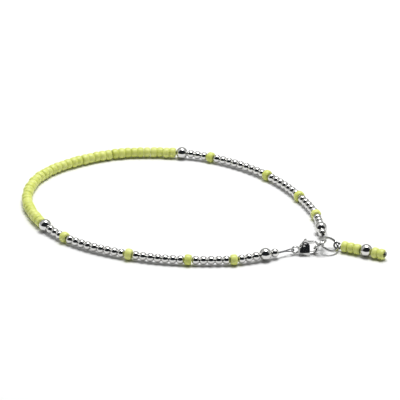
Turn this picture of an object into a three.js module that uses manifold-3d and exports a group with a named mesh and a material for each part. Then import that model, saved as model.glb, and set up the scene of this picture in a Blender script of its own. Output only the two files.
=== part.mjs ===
// A beaded anklet, closed and lying on a flat surface: silver and yellow beads on one wire, a small
// claw clasp with a sprung lever, two jump rings, and a short beaded drop on a head pin.
// Millimetres, +Z up, with the surface at z = 0.
import * as THREE from "three";
import { mergeVertices } from "three/addons/utils/BufferGeometryUtils.js";
import Module from "manifold-3d";

const wasm = await Module();
wasm.setup();

// Beads: outer diameter, length along the bore, sides of the turned solid, and bands along it,
// for a single bead and for one in a run.
const SILVER = { diameter: 2.5, length: 2.17, sides: 10, bands: 4, runBands: 4 };
const BALL = { diameter: 3.7, length: 3.42, sides: 14, bands: 6, runBands: 6 };
const YELLOW = { diameter: 3.15, length: 2.03, sides: 10, bands: 5, runBands: 3, seed: true };
const DROP_YELLOW = { ...YELLOW, length: 1.85 };
const BORE_DIAMETER = 1.0;
const BEADS_PER_BORE_RING = 3;
const YELLOW_END_RADIUS = 0.95; // where a seed bead's flat end starts to round over
const BEAD_GAP = 0.08; // between neighbouring pieces on the wire
const YELLOW_RUN_COUNT = 40;
const SURFACE_GAP = 0.005; // under the lowest beads
const BALL_RISE_LENGTH = 4; // how far from a large ball the wire takes to come down again

// Wire, rings and drop.
const WIRE_DIAMETER = 0.38;
const WIRE_SIDES = 6;
const WIRE_STEP = 2.4;
const CLASP_RING = { meanRadius: 1.95, wire: 0.7 };
const DROP_RING = { meanRadius: 2.6, wire: 0.72 };
const RING_SIDES = 16;
const RING_WIRE_SIDES = 6;
const PIN = { wire: 0.56, eyeRadius: 1.0, headDiameter: 1.3, headThickness: 0.5, sides: 8 };
const DROP_BEAD_SAG = 0.18; // the drop's seed beads hang on the pin by their bores

// Clasp, in its own plane: x runs from the tail ring's centre to the claw, y is the height.
const CLASP = { clawThickness: 1.2, leverThickness: 0.7, slotWidth: 1.1, edge: 0.16 };
const CHEEKS = { footThickness: 3.0, topThickness: 1.48, taperStart: 1.2, taperEnd: 3.85 };
const TAIL = { height: 1.5, outerRadius: 1.25, innerRadius: 0.75, thickness: 0.7 };
const PIVOT = { x: 2.4, y: 3.0, pinRadius: 0.26, pinLength: 1.86, hubRadius: 0.7, hubBore: 0.42 };
const SLOT = { left: 1.35, right: 4.6, floor: 2.0, top: 5.2 };
const LEVER_REACH = 3.18; // from the pivot to the lever's end
const CLAW_TIP_REACH = 3.36; // from the pivot to the claw's end face

// Places on the plan.
const STRAND_PLAN = [
  { x: 22.3, y: -37.7 },
  { x: 8.3, y: -42.0 },
  { x: -12.5, y: -40.8 },
  { x: -32.9, y: -32.7 },
  { x: -45.9, y: -19.5 },
  { x: -51.8, y: -0.9 },
  { x: -46.0, y: 17.1 },
  { x: -26.7, y: 29.2 },
  { x: -5.0, y: 29.4 },
  { x: 11.4, y: 22.0 },
  { x: 24.3, y: 8.8 },
  { x: 33.3, y: -9.9 },
  { x: 35.6, y: -26.4 },
];
const CLASP_PLACE = { x: 27.2, y: -35.6, turn: 7 };
const CLASP_RING_PLACE = { centre: [34.288, -34.261, 2.544], axis: [0.5596, -0.336, -0.7576] };
const DROP_RING_PLACE = { centre: [37.064, -33.54, 2.209], axis: [0.3577, -0.2776, 0.8916] };
const DROP_PLACE = { eye: [39.374, -32.925, 1.45], turn: -25 };
const FOOTPRINT_MIDDLE = { x: -0.02, y: -5.79 };

// Half of the strand, from the clasp's end to the yellow run: the other half mirrors it.
const HALF_STRAND = [
  { name: "end_bead", bead: SILVER, count: 1 },
  { name: "end_ball", bead: BALL, count: 1 },
  { name: "silver_run_1", bead: SILVER, count: 3 },
  { name: "accent_bead_1", bead: YELLOW, count: 1 },
  { name: "silver_run_2", bead: SILVER, count: 5 },
  { name: "accent_bead_2", bead: YELLOW, count: 1 },
  { name: "silver_run_3", bead: SILVER, count: 7 },
  { name: "accent_bead_3", bead: YELLOW, count: 1 },
  { name: "silver_run_4", bead: SILVER, count: 9 },
  { name: "accent_bead_4", bead: YELLOW, count: 1 },
  { name: "silver_run_5", bead: SILVER, count: 3 },
  { name: "run_ball", bead: BALL, count: 1 },
];
const DROP_BEADS = [
  { name: "drop_bead_1", bead: DROP_YELLOW },
  { name: "drop_bead_2", bead: DROP_YELLOW },
  { name: "drop_bead_3", bead: DROP_YELLOW },
  { name: "drop_ball", bead: BALL },
  { name: "drop_bead_4", bead: DROP_YELLOW },
  { name: "drop_bead_5", bead: DROP_YELLOW },
];

const silverFinish = new THREE.MeshStandardMaterial({ color: 0xe6e7e8, roughness: 0.12, metalness: 1 });
const yellowFinish = new THREE.MeshStandardMaterial({ color: 0xd3dc6e, roughness: 0.5, metalness: 0 });
const wireFinish = new THREE.MeshStandardMaterial({ color: 0x9a9c9e, roughness: 0.35, metalness: 1 });

const anklet = new THREE.Group();
const UP = new THREE.Vector3(0, 0, 1);

function addMesh(parent, name, geometry, finish) {
  const mesh = new THREE.Mesh(geometry, finish);
  mesh.name = name;
  parent.add(mesh);
  return mesh;
}

// Booleans.

function solidOf(geometry) {
  const bare = geometry.clone();
  bare.deleteAttribute("normal");
  bare.deleteAttribute("uv");
  const merged = mergeVertices(bare, 1e-4);
  return new wasm.Manifold(
    new wasm.Mesh({
      numProp: 3,
      vertProperties: merged.attributes.position.array,
      triVerts: new Uint32Array(merged.index.array),
    }),
  );
}

function geometryOf(solid) {
  const mesh = solid.getMesh();
  return new THREE.BufferGeometry()
    .setAttribute("position", new THREE.BufferAttribute(mesh.vertProperties, 3))
    .setIndex(new THREE.BufferAttribute(mesh.triVerts, 1));
}

function joined(geometries) {
  return geometries.map(solidOf).reduce((whole, piece) => whole.add(piece));
}

// The strand: a plan curve whose height follows the beads that carry it.

const chart = [
  ...HALF_STRAND.map((row) => ({ ...row, name: `front_${row.name}` })),
  { name: "yellow_run", bead: YELLOW, count: YELLOW_RUN_COUNT },
  ...HALF_STRAND.toReversed().map((row) => ({ ...row, name: `back_${row.name}` })),
];
let reached = 0;
for (const row of chart) {
  const length = row.count * row.bead.length;
  row.centre = reached + length / 2;
  reached += length + BEAD_GAP;
}
const ballPlaces = chart.filter((row) => row.bead === BALL).map((row) => row.centre);
const wireStart = chart[0].centre;
const wireEnd = chart.at(-1).centre;

const plan = new THREE.CatmullRomCurve3(
  STRAND_PLAN.map(({ x, y }) => new THREE.Vector3(x, y, 0)),
  false,
  "catmullrom",
  0.5,
);
plan.arcLengthDivisions = 2000;
const planLength = plan.getLength();

function wireHeight(s) {
  const rises = ballPlaces.map((place) => Math.exp(-(((s - place) / BALL_RISE_LENGTH) ** 2)));
  return SURFACE_GAP + YELLOW.diameter / 2 + (Math.max(...rises) * (BALL.diameter - YELLOW.diameter)) / 2;
}

function strandPoint(s) {
  const point = plan.getPointAt(THREE.MathUtils.clamp(s / planLength, 0, 1));
  return point.setZ(wireHeight(s));
}

// The frame of the wire at s: along it, level across it, and square to both.
function strandFrame(s) {
  const step = 0.05;
  const along = strandPoint(s + step).sub(strandPoint(s - step)).normalize();
  const across = along.clone().cross(UP).normalize();
  return { point: strandPoint(s), across, along, over: across.clone().cross(along) };
}

class StrandWire extends THREE.Curve {
  getPoint(t) {
    return strandPoint(THREE.MathUtils.lerp(wireStart, wireEnd, t));
  }
}

// Beads: turned solids about Y, with a bore.

// A round bead's outline is an arc; a seed bead's is straight with well rounded shoulders.
function beadOutline(bead, bands) {
  const half = bead.length / 2;
  const radius = bead.diameter / 2;
  const points = [];
  for (let i = 0; i <= bands; i += 1) {
    const t = (2 * i) / bands - 1;
    if (bead.seed) {
      const place = Math.sin((t * Math.PI) / 2);
      const swell = (1 - Math.abs(place) ** 4) ** 0.25;
      points.push(new THREE.Vector2(THREE.MathUtils.lerp(YELLOW_END_RADIUS, radius, swell), half * place));
    } else {
      const angle = t * Math.asin(half / radius);
      points.push(new THREE.Vector2(radius * Math.cos(angle), radius * Math.sin(angle)));
    }
  }
  return points;
}

// A straight string of like beads, fused end to end, with one bore right through.
function beadString(bead, count) {
  const outline = beadOutline(bead, count > 1 ? bead.runBands : bead.bands);
  const half = (count * bead.length) / 2;
  const profile = [];
  const bore = [];
  for (let i = 0; i < count; i += 1) {
    const middle = (i + 0.5) * bead.length - half;
    const shared = i === 0 ? outline : outline.slice(1);
    profile.push(...shared.map((point) => new THREE.Vector2(point.x, point.y + middle)));
    if (i % BEADS_PER_BORE_RING === 0) {
      bore.push(new THREE.Vector2(BORE_DIAMETER / 2, i * bead.length - half));
    }
  }
  bore.push(new THREE.Vector2(BORE_DIAMETER / 2, half));
  profile.push(...bore.reverse(), profile[0].clone());
  return new THREE.LatheGeometry(profile, bead.sides);
}

// Bends a straight string round the strand, with its middle at s.
function bendAlongStrand(geometry, s) {
  const position = geometry.attributes.position;
  const vertex = new THREE.Vector3();
  for (let i = 0; i < position.count; i += 1) {
    vertex.fromBufferAttribute(position, i);
    const frame = strandFrame(s + vertex.y);
    frame.point.addScaledVector(frame.across, vertex.x).addScaledVector(frame.over, vertex.z);
    position.setXYZ(i, frame.point.x, frame.point.y, frame.point.z);
  }
  return geometry;
}

for (const { name, bead, count, centre } of chart) {
  const finish = bead.seed ? yellowFinish : silverFinish;
  const geometry = beadString(bead, count);
  if (count > 1) {
    addMesh(anklet, name, bendAlongStrand(geometry, centre), finish);
    continue;
  }
  const frame = strandFrame(centre);
  const mesh = addMesh(anklet, name, geometry, finish);
  mesh.position.copy(frame.point);
  mesh.quaternion.setFromRotationMatrix(new THREE.Matrix4().makeBasis(frame.across, frame.along, frame.over));
}

// Round wire along a curve.

function wireAlong(curve, diameter, sides, steps) {
  const section = new THREE.Shape();
  for (let i = 0; i < sides; i += 1) {
    const angle = (2 * Math.PI * i) / sides;
    const point = [(diameter / 2) * Math.cos(angle), (diameter / 2) * Math.sin(angle)];
    if (i === 0) section.moveTo(...point);
    else section.lineTo(...point);
  }
  return new THREE.ExtrudeGeometry(section, { steps, extrudePath: curve, bevelEnabled: false });
}

// Clasp: outlines in its plane, extruded across it, then joined.

function extruded(shape, thickness, edge) {
  const geometry = new THREE.ExtrudeGeometry(shape, {
    depth: thickness - 2 * edge,
    curveSegments: 5,
    bevelEnabled: edge > 0,
    bevelThickness: edge,
    bevelSize: edge,
    bevelOffset: -edge,
    bevelSegments: 1,
  });
  return geometry.translate(0, 0, edge - thickness / 2);
}

function tailRing() {
  const shape = new THREE.Shape().absarc(0, TAIL.height, TAIL.outerRadius, 0, 2 * Math.PI);
  shape.holes.push(new THREE.Path().absarc(0, TAIL.height, TAIL.innerRadius, 0, 2 * Math.PI, true));
  return new THREE.ExtrudeGeometry(shape, {
    depth: TAIL.thickness,
    curveSegments: 8,
    bevelEnabled: false,
  }).translate(0, 0, -TAIL.thickness / 2);
}

function cheeks() {
  const shape = new THREE.Shape();
  shape.moveTo(1.05, 1.15);
  shape.quadraticCurveTo(2.2, 0.75, 3.4, 0);
  shape.lineTo(4.05, 0);
  shape.lineTo(4.05, 3.1);
  shape.quadraticCurveTo(3.4, 3.85, 2.5, 3.85);
  shape.quadraticCurveTo(1.9, 3.6, 1.05, 1.85);
  shape.closePath();
  const blank = extruded(shape, CHEEKS.footThickness, CLASP.edge);
  return solidOf(blank).intersect(solidOf(cheekTaper()));
}

// A bar along x whose section is straight at the foot and narrows towards the top.
function cheekTaper() {
  const foot = CHEEKS.footThickness / 2;
  const top = CHEEKS.topThickness / 2;
  const section = new THREE.Shape();
  section.moveTo(-foot, 0);
  section.lineTo(foot, 0);
  section.lineTo(foot, CHEEKS.taperStart);
  section.lineTo(top, CHEEKS.taperEnd);
  section.lineTo(-top, CHEEKS.taperEnd);
  section.lineTo(-foot, CHEEKS.taperStart);
  section.closePath();
  const bar = new THREE.ExtrudeGeometry(section, { depth: SLOT.right, bevelEnabled: false });
  return bar.rotateY(Math.PI / 2);
}

function claw() {
  const tipTop = 3.98;
  const tipFoot = 3.5;
  const tipX = (y) => PIVOT.x + Math.sqrt(CLAW_TIP_REACH ** 2 - (y - PIVOT.y) ** 2);
  const shape = new THREE.Shape();
  shape.moveTo(3.4, 0);
  shape.lineTo(5.0, 0);
  shape.bezierCurveTo(6.3, 0, 6.88, 0.9, 6.88, 2.1);
  shape.bezierCurveTo(6.88, 3.1, 6.4, 3.7, tipX(tipTop), tipTop);
  shape.lineTo(tipX(tipFoot), tipFoot);
  shape.bezierCurveTo(6.1, 3.2, 6.22, 2.7, 6.22, 2.1);
  shape.bezierCurveTo(6.22, 1.3, 5.9, 0.66, 5.0, 0.66);
  shape.lineTo(3.4, 0.66);
  shape.closePath();
  return extruded(shape, CLASP.clawThickness, CLASP.edge);
}

function pivotPin() {
  return new THREE.CylinderGeometry(PIVOT.pinRadius, PIVOT.pinRadius, PIVOT.pinLength, 8)
    .rotateX(Math.PI / 2)
    .translate(PIVOT.x, PIVOT.y, 0);
}

function leverSlot() {
  const width = SLOT.right - SLOT.left;
  const height = SLOT.top - SLOT.floor;
  return new THREE.BoxGeometry(width, height, CLASP.slotWidth).translate(
    SLOT.left + width / 2,
    SLOT.floor + height / 2,
    0,
  );
}

function claspBody() {
  const slotted = cheeks().subtract(solidOf(leverSlot()));
  return geometryOf(slotted.add(joined([claw(), tailRing(), pivotPin()])));
}

// The lever about its own pivot: hub, thumb tab and arm.
function claspLever() {
  const endX = (y) => Math.sqrt(LEVER_REACH ** 2 - y ** 2);
  const armTop = 0.96;
  const armFoot = 0.45;
  const shape = new THREE.Shape();
  shape.moveTo(-PIVOT.hubRadius, 0);
  shape.absarc(0, 0, PIVOT.hubRadius, Math.PI, 1.75 * Math.PI);
  shape.lineTo(1.3, 0.12);
  shape.lineTo(endX(armFoot), armFoot);
  shape.lineTo(endX(armTop), armTop);
  shape.lineTo(1.15, 1.12);
  shape.quadraticCurveTo(0.95, 1.7, 0.55, 1.75);
  shape.quadraticCurveTo(0.15, 1.75, 0.0, 1.2);
  shape.lineTo(-0.6, 0.45);
  shape.closePath();
  shape.holes.push(new THREE.Path().absarc(0, 0, PIVOT.hubBore, 0, 2 * Math.PI, true));
  return extruded(shape, CLASP.leverThickness, CLASP.edge / 2);
}

const clasp = new THREE.Group();
clasp.position.set(CLASP_PLACE.x, CLASP_PLACE.y, 0);
clasp.rotation.set(Math.PI / 2, 0, THREE.MathUtils.degToRad(CLASP_PLACE.turn), "ZXY");
clasp.updateMatrixWorld(true);
addMesh(clasp, "clasp_body", claspBody(), silverFinish);
const lever = addMesh(clasp, "clasp_lever", claspLever(), silverFinish);
lever.position.set(PIVOT.x, PIVOT.y, 0);
anklet.add(clasp);

// Jump rings.

function addJumpRing(name, { meanRadius, wire }, { centre, axis }) {
  const geometry = new THREE.TorusGeometry(meanRadius, wire / 2, RING_WIRE_SIDES, RING_SIDES);
  const mesh = addMesh(anklet, name, geometry, silverFinish);
  mesh.position.fromArray(centre);
  mesh.quaternion.setFromUnitVectors(UP, new THREE.Vector3().fromArray(axis).normalize());
}
addJumpRing("clasp_ring", CLASP_RING, CLASP_RING_PLACE);
addJumpRing("drop_ring", DROP_RING, DROP_RING_PLACE);

// The bead wire: through every bead, with a loop round the tail ring and one round the clasp ring.

// A narrow loop from inside an end bead, round a bar and back into the bead.
function wireLoop(s, inward, bar, away, side, halfWidth) {
  const frame = strandFrame(s);
  const spread = side.clone().addScaledVector(frame.along, -side.dot(frame.along)).normalize();
  const nest = WIRE_DIAMETER * 0.5;
  const points = [];
  for (const hand of [1, -1]) {
    const leg = [
      frame.point.clone().addScaledVector(frame.along, inward * 0.8).addScaledVector(spread, hand * nest),
      frame.point.clone().addScaledVector(frame.along, -inward * 1.0).addScaledVector(spread, hand * nest),
    ];
    const turn = [0, 30, 60].map((degrees) => {
      const angle = THREE.MathUtils.degToRad(degrees);
      return bar
        .clone()
        .addScaledVector(side, hand * halfWidth * Math.cos(angle))
        .addScaledVector(away, halfWidth * Math.sin(angle));
    });
    points.push(hand === 1 ? [...leg, ...turn] : [...turn.reverse(), ...leg.reverse()]);
  }
  const tip = bar.clone().addScaledVector(away, halfWidth);
  const curve = new THREE.CatmullRomCurve3([...points[0], tip, ...points[1]], false, "centripetal");
  return wireAlong(curve, WIRE_DIAMETER, WIRE_SIDES, 36);
}

const claspAlong = new THREE.Vector3(1, 0, 0).transformDirection(clasp.matrixWorld);
const claspAcross = new THREE.Vector3(0, 0, 1).transformDirection(clasp.matrixWorld);
const tailBar = new THREE.Vector3(-1.116, TAIL.height, 0).applyMatrix4(clasp.matrixWorld);
const TAIL_LOOP_HALF_WIDTH = 0.7;
const frontLoop = wireLoop(wireStart, 1, tailBar, claspAlong, claspAcross, TAIL_LOOP_HALF_WIDTH);

const RING_LOOP_HALF_WIDTH = 0.66;
const RING_LOOP_LIFT = THREE.MathUtils.degToRad(9.7);
const ringCentre = new THREE.Vector3().fromArray(CLASP_RING_PLACE.centre);
const ringAxis = new THREE.Vector3().fromArray(CLASP_RING_PLACE.axis).normalize();
const towardStrand = strandPoint(wireEnd).sub(ringCentre).projectOnPlane(ringAxis).normalize();
towardStrand.applyAxisAngle(ringAxis, RING_LOOP_LIFT);
const ringBar = ringCentre.clone().addScaledVector(towardStrand, CLASP_RING.meanRadius);
const intoRing = towardStrand.clone().negate();
const backLoop = wireLoop(wireEnd, -1, ringBar, intoRing, ringAxis, RING_LOOP_HALF_WIDTH);

const wireSteps = Math.round((wireEnd - wireStart) / WIRE_STEP);
const strandWire = wireAlong(new StrandWire(), WIRE_DIAMETER, WIRE_SIDES, wireSteps);
addMesh(anklet, "bead_wire", geometryOf(joined([strandWire, frontLoop, backLoop])), wireFinish);

// The drop: a head pin along the surface from its eye, and the beads on it.

const drop = new THREE.Group();
drop.position.fromArray(DROP_PLACE.eye);
drop.rotation.z = THREE.MathUtils.degToRad(DROP_PLACE.turn);
anklet.add(drop);
const pinHeight = BALL.diameter / 2 + SURFACE_GAP - DROP_PLACE.eye[2];
let dropReached = PIN.eyeRadius + PIN.wire / 2 + BEAD_GAP;
for (const { name, bead } of DROP_BEADS) {
  const mesh = addMesh(drop, name, beadString(bead, 1), bead.seed ? yellowFinish : silverFinish);
  mesh.rotation.z = -Math.PI / 2;
  const sag = bead.seed ? DROP_BEAD_SAG : 0;
  mesh.position.set(dropReached + bead.length / 2, 0, pinHeight - sag);
  dropReached += bead.length + BEAD_GAP;
}

function dropPin() {
  const eye = new THREE.TorusGeometry(PIN.eyeRadius, PIN.wire / 2, PIN.sides, RING_SIDES);
  eye.rotateX(Math.PI / 2);
  const start = PIN.eyeRadius * 0.9;
  const stem = new THREE.CylinderGeometry(PIN.wire / 2, PIN.wire / 2, dropReached - start + 0.2, PIN.sides);
  stem.rotateZ(Math.PI / 2).translate((dropReached + 0.2 + start) / 2, 0, pinHeight);
  const head = new THREE.CylinderGeometry(
    PIN.headDiameter / 2,
    PIN.headDiameter / 2,
    PIN.headThickness,
    12,
  );
  head.rotateZ(Math.PI / 2).translate(dropReached + PIN.headThickness / 2, 0, pinHeight);
  return geometryOf(joined([eye, stem, head]));
}
addMesh(drop, "drop_pin", dropPin(), wireFinish);

anklet.position.set(-FOOTPRINT_MIDDLE.x, -FOOTPRINT_MIDDLE.y, 0);

export default anklet;
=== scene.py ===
"""A beaded anklet: silver and yellow beads on a wire, a claw clasp, two jump rings and a beaded drop."""
import math

import bmesh
import bpy
from mathutils import Matrix, Vector


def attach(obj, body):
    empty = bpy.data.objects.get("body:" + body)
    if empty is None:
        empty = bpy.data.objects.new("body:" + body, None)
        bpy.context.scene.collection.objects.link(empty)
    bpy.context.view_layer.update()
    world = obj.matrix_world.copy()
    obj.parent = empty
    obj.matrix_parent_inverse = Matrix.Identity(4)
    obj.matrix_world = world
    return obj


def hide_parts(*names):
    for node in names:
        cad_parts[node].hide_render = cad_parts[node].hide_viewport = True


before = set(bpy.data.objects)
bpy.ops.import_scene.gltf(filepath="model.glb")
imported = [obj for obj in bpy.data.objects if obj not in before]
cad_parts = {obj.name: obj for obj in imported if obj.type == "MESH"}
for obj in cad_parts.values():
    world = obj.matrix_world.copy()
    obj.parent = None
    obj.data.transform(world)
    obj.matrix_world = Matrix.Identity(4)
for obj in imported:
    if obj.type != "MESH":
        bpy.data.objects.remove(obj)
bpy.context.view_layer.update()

bl_info = {
    "name": "Beaded Anklet",
    "version": (1, 0, 0),
    "blender": (4, 5, 0),
    "location": "View3D > Sidebar > Anklet",
    "description": "Builds a beaded anklet with its clasp, jump rings and drop",
    "category": "Object",
}

MM = 0.001

# Places on the plan, in millimetres from the point the camera aims at.
FOOTPRINT_MIDDLE = (-0.02, -5.79)
STRAND_PLAN = (
    (22.3, -37.7),
    (8.3, -42.0),
    (-12.5, -40.8),
    (-32.9, -32.7),
    (-45.9, -19.5),
    (-51.8, -0.9),
    (-46.0, 17.1),
    (-26.7, 29.2),
    (-5.0, 29.4),
    (11.4, 22.0),
    (24.3, 8.8),
    (33.3, -9.9),
    (35.6, -26.4),
)
SURFACE_GAP = 0.005
BALL_RISE_LENGTH = 4.0

# Half of the strand from the clasp's end to the yellow run: the other half mirrors it.
HALF_STRAND = (
    ("silver", 1),
    ("ball", 1),
    ("silver", 3),
    ("accent", 1),
    ("silver", 5),
    ("accent", 1),
    ("silver", 7),
    ("accent", 1),
    ("silver", 9),
    ("accent", 1),
    ("silver", 3),
    ("ball", 1),
)
YELLOW_RUN = ("run", 40)
DROP_ORDER = ("yellow", "yellow", "yellow", "ball", "yellow", "yellow")

# The clasp, the rings and the drop: places on the plan, turns and ring cuts in degrees.
CLASP_PLACE = (27.2, -35.6, 0.0)
CLASP_TURN = 7.0
CLASP_RING_CENTRE = (34.288, -34.261, 2.544)
CLASP_RING_AXIS = (0.5596, -0.336, -0.7576)
CLASP_RING_CUT = 200
DROP_RING_CENTRE = (37.064, -33.54, 2.209)
DROP_RING_AXIS = (0.3577, -0.2776, 0.8916)
DROP_RING_CUT = 140
DROP_EYE = (39.374, -32.925, 1.45)
DROP_TURN = -25.0
DROP_SAG = 0.18
DROP_SEED = 11

# The clasp in its own upright plane, in millimetres from the foot below its tail ring.
TAIL_HEIGHT = 1.5
TAIL_RADIUS = 1.0
TAIL_HALF_SIZE = (0.25, 0.35)
PIVOT = (2.4, 3.0)
PIVOT_RADIUS = 0.26
PIVOT_HALF_LENGTH = 0.95
CHEEK_FOOT = ((1.05, 1.15), (1.7, 0.93), (2.2, 0.73), (2.8, 0.4), (3.4, 0.0), (4.05, 0.0))
CHEEK_TOP = (
    (4.05, 3.1),
    (3.8, 3.42),
    (3.4, 3.66),
    (2.95, 3.8),
    (2.5, 3.85),
    (2.1, 3.55),
    (1.6, 2.85),
    (1.05, 1.85),
)
CHEEK_DEPTHS = (0.55, 1.5)
CHEEK_TAPER = {"start": 1.0, "end": 3.6, "foot": 1.52, "top": 0.74}
WEB_TOP = ((4.05, 2.0), (1.35, 2.0), (1.35, 2.4), (1.05, 1.85))
WEB_HALF_DEPTH = 0.6
CLAW_LINE = (
    (3.5, 0.33),
    (4.4, 0.33),
    (5.2, 0.36),
    (5.95, 0.72),
    (6.42, 1.4),
    (6.55, 2.2),
    (6.4, 3.0),
    (5.72, 3.74),
)
CLAW_ROOT = (0.33, 0.6)
CLAW_THINNING = (0.08, 0.12)
LEVER_HUB_RADIUS = 0.7
LEVER_HOLE_RADIUS = 0.4
LEVER_HALF_DEPTH = 0.35
LEVER_ARM = (
    (1.3, 0.12),
    (2.2, 0.3),
    (3.13, 0.45),
    (3.02, 0.96),
    (2.0, 1.03),
    (1.15, 1.12),
    (1.02, 1.5),
    (0.8, 1.7),
    (0.55, 1.76),
    (0.28, 1.68),
    (0.1, 1.45),
    (0.0, 1.2),
    (-0.3, 0.85),
    (-0.6, 0.45),
)
BODY_VOXEL = 0.045
LEVER_VOXEL = 0.035
SOFTENING = 8

# The narrow loops at the wire's ends, in millimetres, and how finely wires are swept.
TAIL_BAR = (-1.116, TAIL_HEIGHT, 0.0)
TAIL_LOOP_HALF_WIDTH = 0.7
RING_LOOP_HALF_WIDTH = 0.66
RING_LOOP_LIFT = 9.7
LEG_REACH = (0.8, -1.0)
LEGS_MEET = 0.4
LOOP_STEPS = 14
PLAN_STEPS = 80
WIRE_STEPS = 700
WIRE_SIDES = 24
HIDDEN_WIRE_SIDES = 12
STRAND_DEPTH = 0.16

# The drop pin: how far past its eye it bends into the shaft, in millimetres, and its head, as
# millimetres past the last bead and share of the head's radius.
PIN_NECK = 0.45
PIN_BEND = 0.5
PIN_FACE = 0.4
PIN_HEAD = ((0.02, 0.6), (0.05, 0.9), (0.12, 1.0), (0.3, 1.0), (0.4, 0.9), (0.46, 0.6), (0.48, 0.1))

# Steps along a bead's outline, and round it.
SMALL_FACETS = (14, 28)
BALL_FACETS = (26, 48)
SEED_FACETS = (28, 32)

# How far sections bulge from a plain oval towards a box: 2 is the oval.
SEED_BULGE = 2.25
BAR_BULGE = 2.5

# Play of the beads on the wire: none for the large balls, a slight tilt for the small silver beads.
EVEN = {"Hang": 0.0, "Shift": 0.0, "Tilt": 0.0, "Spread": 0.0}
SILVER_TILT = 0.01

# The studio. The camera's place is in millimetres on the plan, the lamp's in metres.
CAMERA_PLACE = (0.0, -583.9, 285.6)
CAMERA_LOOKS_DOWN = 26.07
LENS_LENGTH = 194.6
SENSOR_WIDTH = 36.0
LAMP_PLACE = (0.08, 0.14, 0.73)
LAMP_SIZE = (0.42, 0.36)
LAMP_POWER = 5.3
FLOOR_REACH = 4
SKY_DARK = (0.02, 0.022, 0.025, 1)
SKY_LOW = (0.31, 0.315, 0.31, 1)
SKY_SIDE = (0.5, 0.505, 0.5, 1)
SKY_HIGH = (0.72, 0.725, 0.72, 1)


def at(x, y, z=0.0):
    """A place on the plan, in metres in the part's frame."""
    return Vector((x - FOOTPRINT_MIDDLE[0], y - FOOTPRINT_MIDDLE[1], z)) * MM


def length_property(name, description, default):
    """A length in metres that the panel shows."""
    return bpy.props.FloatProperty(
        name=name, description=description, default=default, min=0.0, precision=5, unit="LENGTH"
    )


def colour_property(name, description, default):
    """A colour that the panel shows."""
    return bpy.props.FloatVectorProperty(
        name=name, description=description, default=default, size=3, min=0.0, max=1.0, subtype="COLOR"
    )


class AnkletBeads(bpy.types.PropertyGroup):
    """Sizes of the beads and how evenly they are strung."""

    silver_diameter: length_property("Silver diameter", "Across a small silver bead", 0.0025)
    silver_length: length_property("Silver length", "Along a small silver bead's bore", 0.00217)
    ball_diameter: length_property("Ball diameter", "Across a large silver ball", 0.0037)
    ball_length: length_property("Ball length", "Along a large silver ball's bore", 0.00342)
    yellow_diameter: length_property("Yellow diameter", "Across a yellow seed bead", 0.00315)
    yellow_length: length_property("Yellow length", "Along a yellow seed bead's bore", 0.00203)
    drop_yellow_length: length_property("Drop yellow length", "Along a seed bead on the drop", 0.00185)
    bore_diameter: length_property("Bore", "Hole through every bead", 0.001)
    gap: length_property("Gap", "Between runs of beads", 0.00008)
    yellow_tilt: bpy.props.FloatProperty(
        name="Yellow tilt",
        description="Most that a seed bead tips on the wire",
        default=0.085,
        subtype="ANGLE",
    )
    yellow_spread: bpy.props.FloatProperty(
        name="Yellow spread",
        description="How far seed beads differ in size",
        default=0.045,
        min=0.0,
        max=0.2,
    )
    yellow_shift: length_property("Yellow shift", "Most that a seed bead sits off the line", 0.00013)
    seed: bpy.props.IntProperty(
        name="Seed", description="Start of the beads' small differences", default=7
    )


class AnkletMetal(bpy.types.PropertyGroup):
    """Sizes of the wire, the jump rings and the drop's pin."""

    wire_diameter: length_property("Bead wire", "Thickness of the stranded wire", 0.00038)
    wire_lay: length_property("Wire lay", "Length of one turn of the wire's strands", 0.0016)
    clasp_ring_radius: length_property("Clasp ring radius", "Ring in the claw, to mid-wire", 0.00195)
    clasp_ring_wire: length_property("Clasp ring wire", "Thickness of that ring's wire", 0.0007)
    drop_ring_radius: length_property("Drop ring radius", "Ring of the drop, to mid-wire", 0.0026)
    drop_ring_wire: length_property("Drop ring wire", "Thickness of that ring's wire", 0.00072)
    ring_cut: length_property("Ring cut", "Gap between a jump ring's closed ends", 0.00005)
    pin_wire: length_property("Pin wire", "Thickness of the drop's pin", 0.00056)
    pin_head: length_property("Pin head", "Across the drop pin's head", 0.0013)
    eye_radius: length_property("Eye radius", "Drop pin's eye, to mid-wire", 0.001)


class AnkletFinish(bpy.types.PropertyGroup):
    """Colours of the anklet's finishes."""

    silver: colour_property("Silver", "Polished silver", (0.72, 0.72, 0.71))
    worn_silver: colour_property("Worn silver", "Clasp and jump rings", (0.61, 0.61, 0.60))
    tarnish: colour_property("Tarnish", "Silver where it is least bright", (0.61, 0.60, 0.58))
    yellow: colour_property("Yellow", "Seed bead glass", (0.68, 0.745, 0.15))
    pale_yellow: colour_property("Pale yellow", "The palest seed beads", (0.80, 0.845, 0.27))
    steel: colour_property("Steel", "Bead wire and pin", (0.14, 0.14, 0.145))
    floor: colour_property("Floor", "Surface that the anklet lies on", (0.90, 0.90, 0.90))


class Value:
    """One socket of a node tree. Arithmetic on it adds Math nodes."""

    def __init__(self, graph, socket):
        self.graph = graph
        self.socket = socket

    def out(self, name):
        return Value(self.graph, self.socket.node.outputs[name])

    def math(self, operation, first, second=0.0):
        return self.graph.add("ShaderNodeMath", {"operation": operation}, {0: first, 1: second})

    def __add__(self, other):
        return self.math("ADD", self, other)

    __radd__ = __add__

    def __sub__(self, other):
        return self.math("SUBTRACT", self, other)

    def __rsub__(self, other):
        return self.math("SUBTRACT", other, self)

    def __mul__(self, other):
        return self.math("MULTIPLY", self, other)

    __rmul__ = __mul__

    def __truediv__(self, other):
        return self.math("DIVIDE", self, other)

    def __pow__(self, other):
        return self.math("POWER", self, other)


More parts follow.
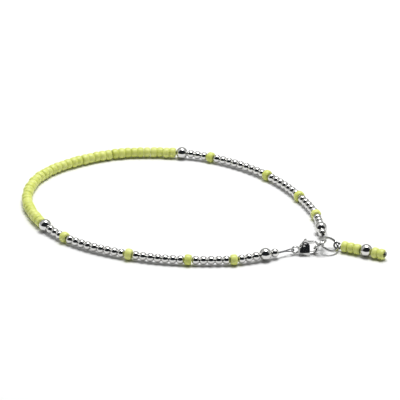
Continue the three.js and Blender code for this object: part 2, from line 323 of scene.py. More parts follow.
class Graph:
    """A node tree to which nodes are added."""

    def __init__(self, tree):
        self.tree = tree

    def add(self, kind, settings=None, sockets=None, output=0):
        """Adds a node, sets it, fills its sockets and gives one of its outputs."""
        node = self.tree.nodes.new(kind)
        for key, value in (settings or {}).items():
            setattr(node, key, value)
        for key, value in (sockets or {}).items():
            if isinstance(value, Value):
                self.tree.links.new(value.socket, node.inputs[key])
            else:
                node.inputs[key].default_value = value
        return Value(self, node.outputs[output]) if node.outputs else None


# Finishes


def new_finish(name):
    """A finish of that name, with an empty graph to fill if it is new."""
    finish = bpy.data.materials.get(name)
    if finish:
        return finish, None
    finish = bpy.data.materials.new(name)
    finish.use_nodes = True
    finish.node_tree.nodes.clear()
    return finish, Graph(finish.node_tree)


def speckle(graph, scale, detail=3.0, roughness=0.5):
    """Fine noise that stays on the piece."""
    coords = graph.add("ShaderNodeTexCoord").out("Object")
    sockets = {"Vector": coords, "Scale": scale, "Detail": detail, "Roughness": roughness}
    return graph.add("ShaderNodeTexNoise", {}, sockets)


def mixed(graph, factor, first, second):
    """A colour between two."""
    return graph.add("ShaderNodeMix", {"data_type": "RGBA"}, {0: factor, 6: first, 7: second}, 2)


def silver_finish(name, bright, dull):
    """Silver with the faint hairlines and clouding of handled metal."""
    finish, graph = new_finish(name)
    if graph is None:
        return finish
    cloud = speckle(graph, 260.0, 2.0)
    grain = speckle(graph, 5200.0, 4.0, 0.65)
    bump = graph.add("ShaderNodeBump", {}, {"Strength": 0.03, "Distance": 0.00002, "Height": grain})
    shader = graph.add(
        "ShaderNodeBsdfPrincipled",
        {},
        {
            "Base Color": mixed(graph, cloud, (*bright, 1), (*dull, 1)),
            "Metallic": 1.0,
            "Roughness": 0.03 + 0.05 * cloud + 0.03 * grain,
            "Normal": bump,
        },
    )
    graph.add("ShaderNodeOutputMaterial", {}, {"Surface": shader})
    return finish


def polished_silver(colours):
    """The beads' bright silver."""
    return silver_finish("polished_silver", colours.silver, colours.tarnish)


def worn_silver(colours):
    """The duller silver of the clasp and the jump rings."""
    dull = [0.8 * channel for channel in colours.worn_silver]
    return silver_finish("worn_silver", colours.worn_silver, dull)


def yellow_glass(colours):
    """Opaque satin glass: each bead a little different, with a fine frosted skin."""
    finish, graph = new_finish("yellow_seed_glass")
    if graph is None:
        return finish
    tone = graph.add("ShaderNodeAttribute", {"attribute_name": "tone"}, {}, 2)
    cloud = speckle(graph, 900.0, 3.0)
    frost = speckle(graph, 9000.0, 3.0, 0.6)
    bump = graph.add("ShaderNodeBump", {}, {"Strength": 0.12, "Distance": 0.00002, "Height": frost})
    blend = 0.65 * tone + 0.5 * cloud - 0.1
    shader = graph.add(
        "ShaderNodeBsdfPrincipled",
        {},
        {
            "Base Color": mixed(graph, blend, (*colours.yellow, 1), (*colours.pale_yellow, 1)),
            "Roughness": 0.34 + 0.14 * frost,
            "IOR": 1.52,
            "Subsurface Weight": 0.15,
            "Subsurface Radius": (1.0, 1.0, 0.35),
            "Subsurface Scale": 0.0006,
            "Normal": bump,
        },
    )
    graph.add("ShaderNodeOutputMaterial", {}, {"Surface": shader})
    return finish


def steel_wire(colours):
    """Drawn steel: grey, with fine streaks in its shine."""
    finish, graph = new_finish("drawn_steel")
    if graph is None:
        return finish
    streak = speckle(graph, 3000.0, 4.0, 0.6)
    pale = tuple(min(1.0, channel * 1.25) for channel in colours.steel)
    shader = graph.add(
        "ShaderNodeBsdfPrincipled",
        {},
        {
            "Base Color": mixed(graph, streak, (*colours.steel, 1), (*pale, 1)),
            "Metallic": 1.0,
            "Roughness": 0.2 + 0.16 * streak,
        },
    )
    graph.add("ShaderNodeOutputMaterial", {}, {"Surface": shader})
    return finish


# Lines and meshes


def smooth_line(points, per_span):
    """Points along a smooth open curve through the given ones."""
    ends = [2 * points[0] - points[1], *points, 2 * points[-1] - points[-2]]
    line = []
    for a, b, c, d in zip(ends, ends[1:], ends[2:], ends[3:]):
        for step in range(per_span):
            t = step / per_span
            bend = (2 * a - 5 * b + 4 * c - d) * t * t + (3 * b - a - 3 * c + d) * t**3
            line.append(0.5 * (2 * b + (c - a) * t + bend))
    line.append(points[-1].copy())
    return line


class Strand:
    """The wire's line through the beads, and each bead's place along it, in metres."""

    def __init__(self, beads):
        sizes = {
            "silver": beads.silver_length,
            "ball": beads.ball_length,
            "accent": beads.yellow_length,
            "run": beads.yellow_length,
        }
        self.places = {kind: [] for kind in sizes}
        reached = 0.0
        for kind, count in (*HALF_STRAND, YELLOW_RUN, *reversed(HALF_STRAND)):
            for _ in range(count):
                self.places[kind].append(reached + sizes[kind] / 2)
                reached += sizes[kind]
            reached += beads.gap
        self.start = self.places["silver"][0]
        self.end = self.places["silver"][-1]
        low = SURFACE_GAP * MM + beads.yellow_diameter / 2
        rise = (beads.ball_diameter - beads.yellow_diameter) / 2
        self.line = smooth_line([at(x, y) for x, y in STRAND_PLAN], PLAN_STEPS)
        self.reach = [0.0]
        for before, after in zip(self.line, self.line[1:]):
            self.reach.append(self.reach[-1] + (after - before).length)
        for point, s in zip(self.line, self.reach):
            nearest = min(abs(s - place) for place in self.places["ball"])
            point.z = low + rise * math.exp(-((nearest / (BALL_RISE_LENGTH * MM)) ** 2))

    def point(self, s):
        """The point that far along the line."""
        for before, after, a, b in zip(self.reach, self.reach[1:], self.line, self.line[1:]):
            if before <= s <= after:
                return a.lerp(b, (s - before) / (after - before))
        return self.line[0 if s < 0 else -1].copy()

    def along(self, s):
        """The line's way at that point."""
        step = 0.0002
        return (self.point(s + step) - self.point(s - step)).normalized()


def add_object(name, mesh):
    """Puts a mesh in the scene."""
    piece = bpy.data.objects.new(name, mesh)
    bpy.context.scene.collection.objects.link(piece)
    return piece


def add_line(name, points, thickness=()):
    """A chain of edges through points, with the wire's radius at each as an attribute."""
    mesh = bpy.data.meshes.new(name)
    mesh.from_pydata(points, [(i, i + 1) for i in range(len(points) - 1)], [])
    if thickness:
        mesh.attributes.new("thickness", "FLOAT", "POINT").data.foreach_set("value", thickness)
    return add_object(name, mesh)


def add_places(name, places):
    """Loose points that only carry their place along a line."""
    mesh = bpy.data.meshes.new(name)
    mesh.from_pydata([(0.0, 0.0, place) for place in places], [], [])
    mesh.attributes.new("place", "FLOAT", "POINT").data.foreach_set("value", places)
    return add_object(name, mesh)


def turned(name, outline, segments):
    """A closed outline of (radius, height) points, turned about Z."""
    shape = bmesh.new()
    rings = []
    for radius, height in outline:
        ring = []
        for i in range(segments):
            angle = 2 * math.pi * i / segments
            ring.append(shape.verts.new((radius * math.cos(angle), radius * math.sin(angle), height)))
        rings.append(ring)
    for lower, upper in zip(rings, rings[1:] + rings[:1]):
        for i in range(segments):
            j = (i + 1) % segments
            shape.faces.new((lower[i], lower[j], upper[j], upper[i])).smooth = True
    bmesh.ops.recalc_face_normals(shape, faces=shape.faces)
    mesh = bpy.data.meshes.new(name)
    shape.to_mesh(mesh)
    shape.free()
    return add_object(name, mesh)


def round_outline(diameter, length, bore, steps):
    """A round bead with a bore whose rims are eased."""
    radius = diameter / 2
    limit = math.asin(length / diameter)
    angles = [limit * (2 * i / steps - 1) for i in range(steps + 1)]
    outer = [(radius * math.cos(a), radius * math.sin(a)) for a in angles]
    rim = bore / 2
    ease = (outer[-1][0] - rim) / 2
    half = length / 2
    top = [(rim + ease * 0.6, half), (rim + ease * 0.15, half - ease * 0.25), (rim, half - ease)]
    bottom = [(r, -z) for r, z in reversed(top)]
    return outer + top + bottom


def seed_outline(diameter, length, bore, steps):
    """A seed bead: a ring cut from glass tube with its edges melted round."""
    middle = (diameter + bore) / 4
    half_wall = (diameter - bore) / 4
    power = 2 / SEED_BULGE
    points = []
    for i in range(steps):
        angle = 2 * math.pi * i / steps
        across = math.copysign(abs(math.cos(angle)) ** power, math.cos(angle))
        along = math.copysign(abs(math.sin(angle)) ** power, math.sin(angle))
        points.append((middle + half_wall * across, length / 2 * along))
    return points


# Geometry node trees


def new_tree(name, inputs):
    """A geometry node tree with named inputs, its graph, and its input sockets by name."""
    tree = bpy.data.node_groups.new(name, "GeometryNodeTree")
    for label, kind in inputs:
        tree.interface.new_socket(label, in_out="INPUT", socket_type=kind)
    tree.interface.new_socket("Piece", in_out="OUTPUT", socket_type="NodeSocketGeometry")
    graph = Graph(tree)
    entry = graph.add("NodeGroupInput")
    return tree, graph, {label: entry.out(label) for label, _ in inputs}


def beads_tree():
    """Strings copies of a bead on a line at the places that its points carry."""
    if "beads on a line" in bpy.data.node_groups:
        return bpy.data.node_groups["beads on a line"]
    tree, graph, given = new_tree(
        "beads on a line",
        (
            ("Places", "NodeSocketGeometry"),
            ("Line", "NodeSocketObject"),
            ("Bead", "NodeSocketObject"),
            ("Hang", "NodeSocketFloat"),
            ("Shift", "NodeSocketFloat"),
            ("Tilt", "NodeSocketFloat"),
            ("Spread", "NodeSocketFloat"),
            ("Seed", "NodeSocketInt"),
            ("Finish", "NodeSocketMaterial"),
        ),
    )
    line = graph.add("GeometryNodeObjectInfo", {}, {"Object": given["Line"]}).out("Geometry")
    curve = graph.add("GeometryNodeMeshToCurve", {}, {"Mesh": line})
    place = graph.add("GeometryNodeInputNamedAttribute", {"data_type": "FLOAT"}, {"Name": "place"})
    sample = graph.add(
        "GeometryNodeSampleCurve", {"mode": "LENGTH"}, {"Curves": curve, "Length": place}
    ).out("Position")
    slack = graph.add(
        "FunctionNodeRandomValue",
        {"data_type": "FLOAT_VECTOR"},
        {0: (-1.0, -1.0, 0.4), 1: (1.0, 1.0, 0.9), "Seed": given["Seed"] + 3},
    )
    loose = graph.add(
        "ShaderNodeVectorMath", {"operation": "SCALE"}, {0: slack, "Scale": given["Shift"]}
    )
    drop = graph.add("ShaderNodeCombineXYZ", {}, {"Z": 0.0 - given["Hang"]})
    offset = graph.add("ShaderNodeVectorMath", {"operation": "ADD"}, {0: loose, 1: drop})
    points = graph.add(
        "GeometryNodeSetPosition",
        {},
        {"Geometry": given["Places"], "Position": sample, "Offset": offset},
    )
    facing = graph.add(
        "FunctionNodeAlignRotationToVector", {"axis": "Z"}, {"Vector": sample.out("Tangent")}
    )
    turn = graph.add(
        "FunctionNodeRandomValue",
        {"data_type": "FLOAT_VECTOR"},
        {0: (-1.0, -1.0, -1.0), 1: (1.0, 1.0, 1.0), "Seed": given["Seed"]},
    )
    tip = graph.add("ShaderNodeVectorMath", {"operation": "SCALE"}, {0: turn, "Scale": given["Tilt"]})
    tipped = graph.add(
        "FunctionNodeRotateRotation",
        {"rotation_space": "LOCAL"},
        {"Rotation": facing, "Rotate By": graph.add("FunctionNodeEulerToRotation", {}, {0: tip})},
    )
    size = graph.add(
        "FunctionNodeRandomValue",
        {"data_type": "FLOAT"},
        {2: 1.0 - given["Spread"], 3: 1.0 + given["Spread"], "Seed": given["Seed"] + 1},
        1,
    )
    scale = graph.add("ShaderNodeCombineXYZ", {}, {"X": size, "Y": size, "Z": 1.0})
    bead = graph.add("GeometryNodeObjectInfo", {}, {"Object": given["Bead"]}).out("Geometry")
    strung = graph.add(
        "GeometryNodeInstanceOnPoints",
        {},
        {"Points": points, "Instance": bead, "Rotation": tipped, "Scale": scale},
    )
    tone = graph.add(
        "FunctionNodeRandomValue",
        {"data_type": "FLOAT"},
        {2: 0.0, 3: 1.0, "Seed": given["Seed"] + 2},
        1,
    )
    toned = graph.add(
        "GeometryNodeStoreNamedAttribute",
        {"data_type": "FLOAT", "domain": "INSTANCE"},
        {"Geometry": strung, "Name": "tone", "Value": tone},
    )
    whole = graph.add("GeometryNodeRealizeInstances", {}, {"Geometry": toned})
    finished = graph.add(
        "GeometryNodeSetMaterial", {}, {"Geometry": whole, "Material": given["Finish"]}
    )
    graph.add("NodeGroupOutput", {}, {0: finished})
    return tree


def wire_tree():
    """Sweeps a wire along a chain of edges: plain and round, or laid up of six strands."""
    if "wire along a line" in bpy.data.node_groups:
        return bpy.data.node_groups["wire along a line"]
    tree, graph, given = new_tree(
        "wire along a line",
        (
            ("Chain", "NodeSocketGeometry"),
            ("Sides", "NodeSocketInt"),
            ("Strand Depth", "NodeSocketFloat"),
            ("Twist", "NodeSocketFloat"),
            ("Finish", "NodeSocketMaterial"),
        ),
    )
    curve = graph.add("GeometryNodeMeshToCurve", {}, {"Mesh": given["Chain"]})
    radius = graph.add(
        "GeometryNodeInputNamedAttribute", {"data_type": "FLOAT"}, {"Name": "thickness"}
    )
    reached = graph.add("GeometryNodeSplineParameter").out("Length")
    tilted = graph.add(
        "GeometryNodeSetCurveTilt", {}, {"Curve": curve, "Tilt": reached * given["Twist"]}
    )
    section = graph.add(
        "GeometryNodeCurvePrimitiveCircle", {}, {"Resolution": given["Sides"], "Radius": 1.0}
    )
    place = graph.add("GeometryNodeInputPosition")
    parts = graph.add("ShaderNodeSeparateXYZ", {}, {0: place})
    angle = parts.math("ARCTAN2", parts.out("Y"), parts.out("X"))
    wave = angle.math("ABSOLUTE", angle.math("COSINE", angle * 3.0))
    swell = 1.0 - given["Strand Depth"] * (1.0 - wave)
    lobed = graph.add("ShaderNodeVectorMath", {"operation": "SCALE"}, {0: place, "Scale": swell})
    profile = graph.add("GeometryNodeSetPosition", {}, {"Geometry": section, "Position": lobed})
    swept = graph.add(
        "GeometryNodeCurveToMesh",
        {},
        {"Curve": tilted, "Profile Curve": profile, "Scale": radius, "Fill Caps": True},
    )
    smooth = graph.add("GeometryNodeSetShadeSmooth", {}, {"Geometry": swept})
    whole = graph.add("GeometryNodeRealizeInstances", {}, {"Geometry": smooth})
    finished = graph.add(
        "GeometryNodeSetMaterial", {}, {"Geometry": whole, "Material": given["Finish"]}
    )
    graph.add("NodeGroupOutput", {}, {0: finished})
    return tree


def grow(name, base, tree, values):
    """Runs a tree on a base object and gives the result as a plain mesh object."""
    modifier = base.modifiers.new("grow", "NODES")
    modifier.node_group = tree
    for item in tree.interface.items_tree:
        if item.in_out == "INPUT" and item.name in values:
            modifier[item.identifier] = values[item.name]
    base.update_tag()
    bpy.context.view_layer.update()
    graph = bpy.context.evaluated_depsgraph_get()
    mesh = bpy.data.meshes.new_from_object(base.evaluated_get(graph), depsgraph=graph)
    mesh.name = name
    base.modifiers.remove(modifier)
    if not mesh.polygons:
        raise RuntimeError(f"{name} came out empty")
    return add_object(name, mesh)


def discard(*helpers):
    """Removes objects that only helped to make a piece."""
    for helper in helpers:
        bpy.data.objects.remove(helper)


def join(name, pieces):
    """One mesh object from several, in the part's frame."""
    shape = bmesh.new()
    for piece in pieces:
        shape.from_mesh(piece.data)
    mesh = bpy.data.meshes.new(name)
    shape.to_mesh(mesh)
    shape.free()
    mesh.materials.append(pieces[0].data.materials[0])
    discard(*pieces)
    return add_object(name, mesh)


def keep(piece, body, slot, *nodes):
    """Puts a finished piece on its body, in place of the solids that it stands for."""
    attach(piece, body)
    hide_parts(*nodes)


def ball_bead(beads):
    """One large silver ball, for stringing."""
    steps, segments = BALL_FACETS
    outline = round_outline(beads.ball_diameter, beads.ball_length, beads.bore_diameter, steps)
    return turned("ball_bead", outline, segments)


def seed_bead(beads, length):
    """One yellow seed bead of that length, for stringing."""
    steps, segments = SEED_FACETS
    outline = seed_outline(beads.yellow_diameter, length, beads.bore_diameter, steps)
    return turned("seed_bead", outline, segments)


def string_beads(name, places, values, slot, nodes):
    """Strings a group of like beads and keeps it as one piece."""
    points = add_places(name + "_places", places)
    keep(grow(name, points, beads_tree(), values), "strand", slot, *nodes)
    discard(points)


def sweep(name, points, thickness, finish, sides=WIRE_SIDES, depth=0.0, twist=0.0):
    """A wire through points, plain and round unless its strands have depth and twist."""
    chain = add_line(name + "_line", points, thickness)
    values = {"Sides": sides, "Strand Depth": depth, "Twist": twist, "Finish": finish}
    wire = grow(name, chain, wire_tree(), values)
    discard(chain)
    return wire


# Cast metal


class Casting:
    """Closed shapes in millimetres, fused and softened into one cast piece."""

    def __init__(self):
        self.shape = bmesh.new()

    def plate(self, outline, low, high, hole=()):
        """A flat plate of that outline between two depths."""
        edges = []
        for loop in (outline, hole):
            rim = [self.shape.verts.new((x, y, low)) for x, y in loop]
            edges += [self.shape.edges.new((rim[i - 1], rim[i])) for i in range(len(rim))]
        filled = bmesh.ops.triangle_fill(self.shape, use_beauty=True, edges=edges)
        faces = [item for item in filled["geom"] if isinstance(item, bmesh.types.BMFace)]
        raised = bmesh.ops.extrude_face_region(self.shape, geom=faces, use_keep_orig=True)
        top = [item for item in raised["geom"] if isinstance(item, bmesh.types.BMVert)]
        bmesh.ops.translate(self.shape, vec=(0, 0, high - low), verts=top)

    def taper(self, start, end, foot, top):
        """Slopes the outer faces so far made, between two heights, from one half depth to another."""
        up = (0, 1, 0)
        for height in (start, end):
            geom = [*self.shape.verts, *self.shape.edges, *self.shape.faces]
            bmesh.ops.bisect_plane(self.shape, geom=geom, plane_co=(0, height, 0), plane_no=up)
        outer = max(vert.co.z for vert in self.shape.verts)
        for vert in self.shape.verts:
            if abs(vert.co.z) > outer - 0.01:
                share = min(max((vert.co.y - start) / (end - start), 0.0), 1.0)
                vert.co.z = math.copysign(foot + (top - foot) * share, vert.co.z)

    def bar(self, line, closed=False, sides=20):
        """A bar along (x, y, half width, half depth) rows, oval in section."""
        power = 2 / BAR_BULGE
        rings = []
        for i, (x, y, width, depth) in enumerate(line):
            before = line[i - 1] if i or closed else line[0]
            after = line[(i + 1) % len(line)] if i + 1 < len(line) or closed else line[-1]
            along = Vector((after[0] - before[0], after[1] - before[1])).normalized()
            ring = []
            for k in range(sides):
                angle = 2 * math.pi * k / sides
                side = math.copysign(abs(math.cos(angle)) ** power, math.cos(angle)) * width
                deep = math.copysign(abs(math.sin(angle)) ** power, math.sin(angle)) * depth
                ring.append(self.shape.verts.new((x - along.y * side, y + along.x * side, deep)))
            rings.append(ring)
        following = rings[1:] + rings[:1] if closed else rings[1:]
        for first, second in zip(rings, following):
            for k in range(sides):
                m = (k + 1) % sides
                self.shape.faces.new((first[k], first[m], second[m], second[k]))
        if not closed:
            self.shape.faces.new(rings[0])
            self.shape.faces.new(rings[-1])

    def pour(self, name, voxel, softening, place, finish):
        """Fuses the shapes, softens their edges and puts the piece in its place."""
        bmesh.ops.recalc_face_normals(self.shape, faces=self.shape.faces)
        mesh = bpy.data.meshes.new(name)
        self.shape.to_mesh(mesh)
        self.shape.free()
        mould = add_object(name + "_mould", mesh)
        fuse = mould.modifiers.new("fuse", "REMESH")
        fuse.mode = "VOXEL"
        fuse.voxel_size = voxel
        fuse.use_smooth_shade = True
        soften = mould.modifiers.new("soften", "SMOOTH")
        soften.factor = 0.5
        soften.iterations = softening
        bpy.context.view_layer.update()
        graph = bpy.context.evaluated_depsgraph_get()
        cast = bpy.data.meshes.new_from_object(mould.evaluated_get(graph), depsgraph=graph)
        cast.name = name
        cast.transform(place)
        cast.materials.clear()
        cast.materials.append(finish)
        discard(mould)
        return add_object(name, cast)


def arc(centre, radius, start, end, steps):
    """Points on an arc, from one angle to another in degrees."""
    angles = [math.radians(start + (end - start) * i / steps) for i in range(steps + 1)]
    return [(centre[0] + radius * math.cos(a), centre[1] + radius * math.sin(a)) for a in angles]


def circle(centre, radius, steps):
    """Points once round a circle."""
    return arc(centre, radius, 0, 360, steps)[:-1]


def curve_2d(points, per_span=8):
    """Points along a smooth curve through places in the clasp's plane."""
    line = smooth_line([Vector((x, y, 0.0)) for x, y in points], per_span)
    return [(point.x, point.y) for point in line]


def clasp_matrix():
    """From the clasp's own plane, in millimetres, to the part's frame."""
    turn = Matrix.Rotation(math.radians(CLASP_TURN), 4, "Z")
    stand = Matrix.Rotation(math.radians(90), 4, "X")
    return Matrix.Translation(at(*CLASP_PLACE)) @ turn @ stand @ Matrix.Scale(MM, 4)


def loop_line(strand, s, inward, bar, away, side, half_width, nest):
    """A narrow wire loop from inside an end bead, round a bar and back into the bead."""
    point = strand.point(s)
    along = strand.along(s) * inward
    spread = side - along * side.dot(along)
    spread.normalize()
    rows = {}
    for hand in (1, -1):
        apart = spread * hand * nest
        leg = [point + along * reach * MM + apart for reach in LEG_REACH]
        leg.append(bar.lerp(point, LEGS_MEET) + apart)
        for angle in (0, math.radians(30), math.radians(60)):
            across = side * hand * half_width * math.cos(angle)
            leg.append(bar + across + away * half_width * math.sin(angle))
        rows[hand] = leg
    tip = bar + away * half_width
    return smooth_line([*rows[1], tip, *reversed(rows[-1])], LOOP_STEPS)


class AnkletOperator:
    """What the anklet's operators share."""

    bl_options = {"REGISTER", "UNDO"}

    @property
    def beads(self):
        return bpy.context.scene.anklet_beads

    @property
    def metal(self):
        return bpy.context.scene.anklet_metal

    @property
    def colours(self):
        return bpy.context.scene.anklet_finish


class ANKLET_OT_strand_beads(AnkletOperator, bpy.types.Operator):
    """Strings the silver beads, the large balls and the yellow beads on the wire's line"""

    bl_idname = "anklet.strand_beads"
    bl_label = "Strand Beads"

    def execute(self, context):
        beads = self.beads
        strand = Strand(beads)
        silver = polished_silver(self.colours)
        yellow = yellow_glass(self.colours)
        line = add_line("strand_line", strand.line)
        steps, segments = SMALL_FACETS
        outline = round_outline(beads.silver_diameter, beads.silver_length, beads.bore_diameter, steps)
        small = turned("small_bead", outline, segments)
        ball = ball_bead(beads)
        seed = seed_bead(beads, beads.yellow_length)
        sides = ("front", "back")
        runs = [f"{side}_silver_run_{i}" for side in sides for i in range(1, 6)]
        ends = [f"{side}_end_bead" for side in sides]
        balls = [f"{side}_{place}_ball" for side in sides for place in ("end", "run")]
        accents = [f"{side}_accent_bead_{i}" for side in sides for i in range(1, 5)]
        tipped = {**EVEN, "Tilt": SILVER_TILT}
        loose = {
            **EVEN,
            "Shift": beads.yellow_shift,
            "Tilt": beads.yellow_tilt,
            "Spread": beads.yellow_spread,
        }
        groups = (
            ("small_silver_beads", "silver", small, silver, "silver", tipped, runs + ends),
            ("large_silver_balls", "ball", ball, silver, "silver", EVEN, balls),
            ("yellow_bead_run", "run", seed, yellow, "yellow_glass", loose, ["yellow_run"]),
            ("yellow_accent_beads", "accent", seed, yellow, "yellow_glass", loose, accents),
        )
        for name, kind, bead, finish, slot, play, nodes in groups:
            values = {"Line": line, "Bead": bead, "Seed": beads.seed, "Finish": finish, **play}
            string_beads(name, strand.places[kind], values, slot, nodes)
        discard(line, small, ball, seed)
        return {"FINISHED"}


class ANKLET_OT_bead_wire(AnkletOperator, bpy.types.Operator):
    """Lays the stranded wire through the beads, with a loop at each end"""

    bl_idname = "anklet.bead_wire"
    bl_label = "Bead Wire"

    def execute(self, context):
        metal = self.metal
        strand = Strand(self.beads)
        radius = metal.wire_diameter / 2
        clasp = clasp_matrix()
        turn = clasp.to_3x3().normalized()
        tail = clasp @ Vector(TAIL_BAR)
        along, across = turn @ Vector((1, 0, 0)), turn @ Vector((0, 0, 1))
        half = TAIL_LOOP_HALF_WIDTH * MM
        front = loop_line(strand, strand.start, 1, tail, along, across, half, radius)

        axis = Vector(CLASP_RING_AXIS).normalized()
        centre = at(*CLASP_RING_CENTRE)
        toward = strand.point(strand.end) - centre
        toward = (toward - axis * toward.dot(axis)).normalized()
        toward.rotate(Matrix.Rotation(math.radians(RING_LOOP_LIFT), 3, axis))
        bar = centre + toward * metal.clasp_ring_radius
        half = RING_LOOP_HALF_WIDTH * MM
        back = loop_line(strand, strand.end, -1, bar, -toward, axis, half, radius)

        reach = strand.end - strand.start
        inner = [strand.point(strand.start + reach * i / WIRE_STEPS) for i in range(WIRE_STEPS + 1)]
        finish = steel_wire(self.colours)
        lay = 2 * math.pi / metal.wire_lay
        pieces = []
        for name, line, sides in (
            ("front_loop", front, WIRE_SIDES),
            ("back_loop", back, WIRE_SIDES),
            ("inner", inner, HIDDEN_WIRE_SIDES),
        ):
            pieces.append(sweep(name, line, [radius] * len(line), finish, sides, STRAND_DEPTH, lay))
        keep(join("beading_wire", pieces), "strand", "wire", "bead_wire")
        return {"FINISHED"}


class ANKLET_OT_clasp(AnkletOperator, bpy.types.Operator):
    """Casts the claw clasp's body and its lever"""

    bl_idname = "anklet.clasp"
    bl_label = "Claw Clasp"

    def execute(self, context):
        finish = worn_silver(self.colours)
        place = clasp_matrix()
        body = Casting()
        inner, outer = CHEEK_DEPTHS
        for low, high in ((-outer, -inner), (inner, outer)):
            body.plate(CHEEK_FOOT + CHEEK_TOP, low, high)
        body.taper(**CHEEK_TAPER)
        tail = circle((0.0, TAIL_HEIGHT), TAIL_RADIUS, 40)
        body.bar([(x, y, *TAIL_HALF_SIZE) for x, y in tail], closed=True, sides=14)
        body.plate(CHEEK_FOOT + WEB_TOP, -WEB_HALF_DEPTH, WEB_HALF_DEPTH)
        claw = curve_2d(CLAW_LINE)
        rows = []
        for i, (x, y) in enumerate(claw):
            worn = (i / (len(claw) - 1)) ** 2
            width, depth = (root - less * worn for root, less in zip(CLAW_ROOT, CLAW_THINNING))
            rows.append((x, y, width, depth))
        body.bar(rows)
        body.plate(circle(PIVOT, PIVOT_RADIUS, 20), -PIVOT_HALF_LENGTH, PIVOT_HALF_LENGTH)
        casting = body.pour("clasp_casting", BODY_VOXEL, SOFTENING, place, finish)
        keep(casting, "strand", "silver", "clasp_body")

        lever = Casting()
        x, y = PIVOT
        profile = [*arc((0, 0), LEVER_HUB_RADIUS, 180, 315, 12), *LEVER_ARM]
        outline = [(px + x, py + y) for px, py in profile]
        hole = circle(PIVOT, LEVER_HOLE_RADIUS, 20)
        lever.plate(outline, -LEVER_HALF_DEPTH, LEVER_HALF_DEPTH, hole)
        trigger = lever.pour("clasp_trigger", LEVER_VOXEL, SOFTENING, place, finish)
        keep(trigger, "lever", "silver", "clasp_lever")
        return {"FINISHED"}


class ANKLET_OT_jump_rings(AnkletOperator, bpy.types.Operator):
    """Bends the two jump rings from round wire, closed end to end"""

    bl_idname = "anklet.jump_rings"
    bl_label = "Jump Rings"

    def execute(self, context):
        metal = self.metal
        finish = worn_silver(self.colours)
        for kind, centre, axis, cut in (
            ("clasp", CLASP_RING_CENTRE, CLASP_RING_AXIS, CLASP_RING_CUT),
            ("drop", DROP_RING_CENTRE, DROP_RING_AXIS, DROP_RING_CUT),
        ):
            radius = getattr(metal, f"{kind}_ring_radius")
            wire = getattr(metal, f"{kind}_ring_wire")
            turn = Vector((0, 0, 1)).rotation_difference(Vector(axis).normalized())
            half_cut = math.degrees(metal.ring_cut / radius / 2)
            flat = arc((0, 0), radius, cut + half_cut, cut + 360 - half_cut, 96)
            points = [at(*centre) + turn @ Vector((x, y, 0)) for x, y in flat]
            ring = sweep(f"{kind}_jump_ring", points, [wire / 2] * len(points), finish)
            keep(ring, "strand", "silver", f"{kind}_ring")
        return {"FINISHED"}


class ANKLET_OT_drop(AnkletOperator, bpy.types.Operator):
    """Threads the drop's beads on a head pin with a turned eye"""

    bl_idname = "anklet.drop"
    bl_label = "Drop"

    def execute(self, context):
        beads, metal = self.beads, self.metal
        place = Matrix.Translation(at(*DROP_EYE)) @ Matrix.Rotation(math.radians(DROP_TURN), 4, "Z")
        height = beads.ball_diameter / 2 + SURFACE_GAP * MM - DROP_EYE[2] * MM
        reached = metal.eye_radius + metal.pin_wire / 2 + beads.gap
        places = {"yellow": [], "ball": []}
        for kind in DROP_ORDER:
            length = beads.ball_length if kind == "ball" else beads.drop_yellow_length
            places[kind].append(reached + length / 2)
            reached += length + beads.gap
        line = add_line("drop_line", [place @ Vector((x, 0, height)) for x in (0.0, reached)])
        ball = ball_bead(beads)
        seed = seed_bead(beads, beads.drop_yellow_length)
        silver, yellow = polished_silver(self.colours), yellow_glass(self.colours)
        nodes = [f"drop_bead_{i}" for i in range(1, 6)]
        sagging = {
            **EVEN,
            "Hang": DROP_SAG * MM,
            "Tilt": beads.yellow_tilt,
            "Spread": beads.yellow_spread,
        }
        groups = (
            ("drop_yellow_beads", "yellow", seed, yellow, "yellow_glass", sagging, nodes),
            ("drop_silver_ball", "ball", ball, silver, "silver", EVEN, ["drop_ball"]),
        )
        start = beads.seed + DROP_SEED
        for name, kind, bead, finish, slot, play, replaced in groups:
            values = {"Line": line, "Bead": bead, "Seed": start, "Finish": finish, **play}
            string_beads(name, places[kind], values, slot, replaced)
        discard(line, ball, seed)

        eye = [Vector((x, 0, z)) for x, z in arc((0, 0), metal.eye_radius, 38, 350, 60)]
        neck = metal.eye_radius + PIN_NECK * MM
        shaft = [Vector((x, 0, height)) for x in (neck, neck + PIN_BEND * MM)]
        bend = smooth_line([*eye[-2:], *shaft], 6)
        stem = [Vector((neck + (reached - neck) * i / 30, 0, height)) for i in range(2, 31)]
        shank = metal.pin_wire / 2
        head = metal.pin_head / 2
        points = eye[:-2] + bend + stem
        thickness = [shank] * len(points)
        for along, share in PIN_HEAD:
            points.append(Vector((reached + along * MM, 0, height)))
            thickness.append(max(head * share, shank) if along < PIN_FACE else head * share)
        points = [place @ point for point in points]
        pin = sweep("drop_head_pin", points, thickness, steel_wire(self.colours))
        keep(pin, "strand", "wire", "drop_pin")
        return {"FINISHED"}


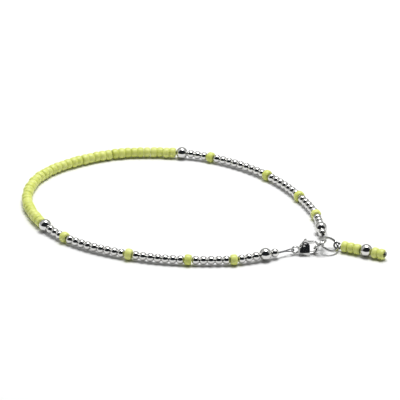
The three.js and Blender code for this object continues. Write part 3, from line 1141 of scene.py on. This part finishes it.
class ANKLET_OT_stage(AnkletOperator, bpy.types.Operator):
    """Sets the pale floor, the soft light and the camera"""

    bl_idname = "anklet.stage"
    bl_label = "Stage"

    def execute(self, context):
        scene = bpy.context.scene
        self.lay_floor()
        scene.world = self.studio_sky()

        lamp = bpy.data.lights.new("soft_box", "AREA")
        lamp.shape = "RECTANGLE"
        lamp.size, lamp.size_y = LAMP_SIZE
        lamp.energy = LAMP_POWER
        soft_box = bpy.data.objects.new("soft_box", lamp)
        soft_box.location = LAMP_PLACE
        soft_box.rotation_euler = (-soft_box.location).to_track_quat("-Z", "Y").to_euler()
        scene.collection.objects.link(soft_box)

        lens = bpy.data.cameras.new("camera")
        lens.lens = LENS_LENGTH
        lens.sensor_width = SENSOR_WIDTH
        lens.clip_start = 0.01
        camera = bpy.data.objects.new("camera", lens)
        camera.location = at(*CAMERA_PLACE)
        camera.rotation_euler = (math.radians(90 - CAMERA_LOOKS_DOWN), 0.0, 0.0)
        scene.collection.objects.link(camera)
        scene.camera = camera
        scene.view_settings.view_transform = "Standard"
        return {"FINISHED"}

    def lay_floor(self):
        """A plain pale floor, which isn't part of the anklet."""
        mesh = bpy.data.meshes.new("floor")
        far = FLOOR_REACH
        corners = [(-far, -far, 0), (far, -far, 0), (far, far, 0), (-far, far, 0)]
        mesh.from_pydata(corners, [], [(0, 1, 2, 3)])
        floor = add_object("floor", mesh)
        finish, graph = new_finish("pale_floor")
        shader = graph.add(
            "ShaderNodeBsdfPrincipled",
            {},
            {"Base Color": (*self.colours.floor, 1), "Roughness": 0.6, "Specular IOR Level": 0.2},
        )
        graph.add("ShaderNodeOutputMaterial", {}, {"Surface": shader})
        mesh.materials.append(finish)

    def studio_sky(self):
        """A grey room that is pale overhead and dark in front, which polished metal mirrors."""
        world = bpy.data.worlds.new("studio")
        world.use_nodes = True
        world.node_tree.nodes.clear()
        graph = Graph(world.node_tree)
        way = graph.add("ShaderNodeTexCoord").out("Generated")
        parts = graph.add("ShaderNodeSeparateXYZ", {}, {0: way})

        def ramp(value, low, high):
            sockets = {"Value": value, "From Min": low, "From Max": high}
            return graph.add("ShaderNodeMapRange", {"interpolation_type": "SMOOTHSTEP"}, sockets)

        rise = parts.out("Z")
        above = ramp(rise, 0.0, 0.05)
        below = 1.0 - ramp(rise, 0.985, 0.9995)
        level = (1.0 - rise * rise) ** 0.5
        front = ramp((0.0 - parts.out("Y")) / level, 0.08, 0.32)
        side = ramp(rise.math("ABSOLUTE", parts.out("X")) / level, 0.65, 0.92)
        low = mixed(graph, side, SKY_LOW, SKY_SIDE)
        grey = mixed(graph, ramp(rise, 0.3, 0.8), low, SKY_HIGH)
        sky = mixed(graph, above * below * front, grey, SKY_DARK)
        light = graph.add("ShaderNodeBackground", {}, {"Color": sky, "Strength": 1.0})
        graph.add("ShaderNodeOutputWorld", {}, {"Surface": light})
        return world


OPERATORS = (
    ANKLET_OT_strand_beads,
    ANKLET_OT_bead_wire,
    ANKLET_OT_clasp,
    ANKLET_OT_jump_rings,
    ANKLET_OT_drop,
    ANKLET_OT_stage,
)


class ANKLET_PT_panel(bpy.types.Panel):
    """The anklet's sizes, colours and pieces"""

    bl_idname = "ANKLET_PT_panel"
    bl_label = "Anklet"
    bl_space_type = "VIEW_3D"
    bl_region_type = "UI"
    bl_category = "Anklet"

    def draw(self, context):
        scene = context.scene
        for group in (scene.anklet_beads, scene.anklet_metal, scene.anklet_finish):
            box = self.layout.box()
            for name in group.__annotations__:
                box.prop(group, name)
        for operator in OPERATORS:
            self.layout.operator(operator.bl_idname)


GROUPS = {"anklet_beads": AnkletBeads, "anklet_metal": AnkletMetal, "anklet_finish": AnkletFinish}


def register():
    for cls in (*GROUPS.values(), *OPERATORS, ANKLET_PT_panel):
        bpy.utils.register_class(cls)
    for name, group in GROUPS.items():
        setattr(bpy.types.Scene, name, bpy.props.PointerProperty(type=group))


def unregister():
    for name in GROUPS:
        delattr(bpy.types.Scene, name)
    for cls in reversed((*GROUPS.values(), *OPERATORS, ANKLET_PT_panel)):
        bpy.utils.unregister_class(cls)


def main():
    register()
    bpy.ops.anklet.stage()
    bpy.ops.anklet.strand_beads()
    bpy.ops.anklet.bead_wire()
    bpy.ops.anklet.clasp()
    bpy.ops.anklet.jump_rings()
    bpy.ops.anklet.drop()


if __name__ == "__main__":
    main()
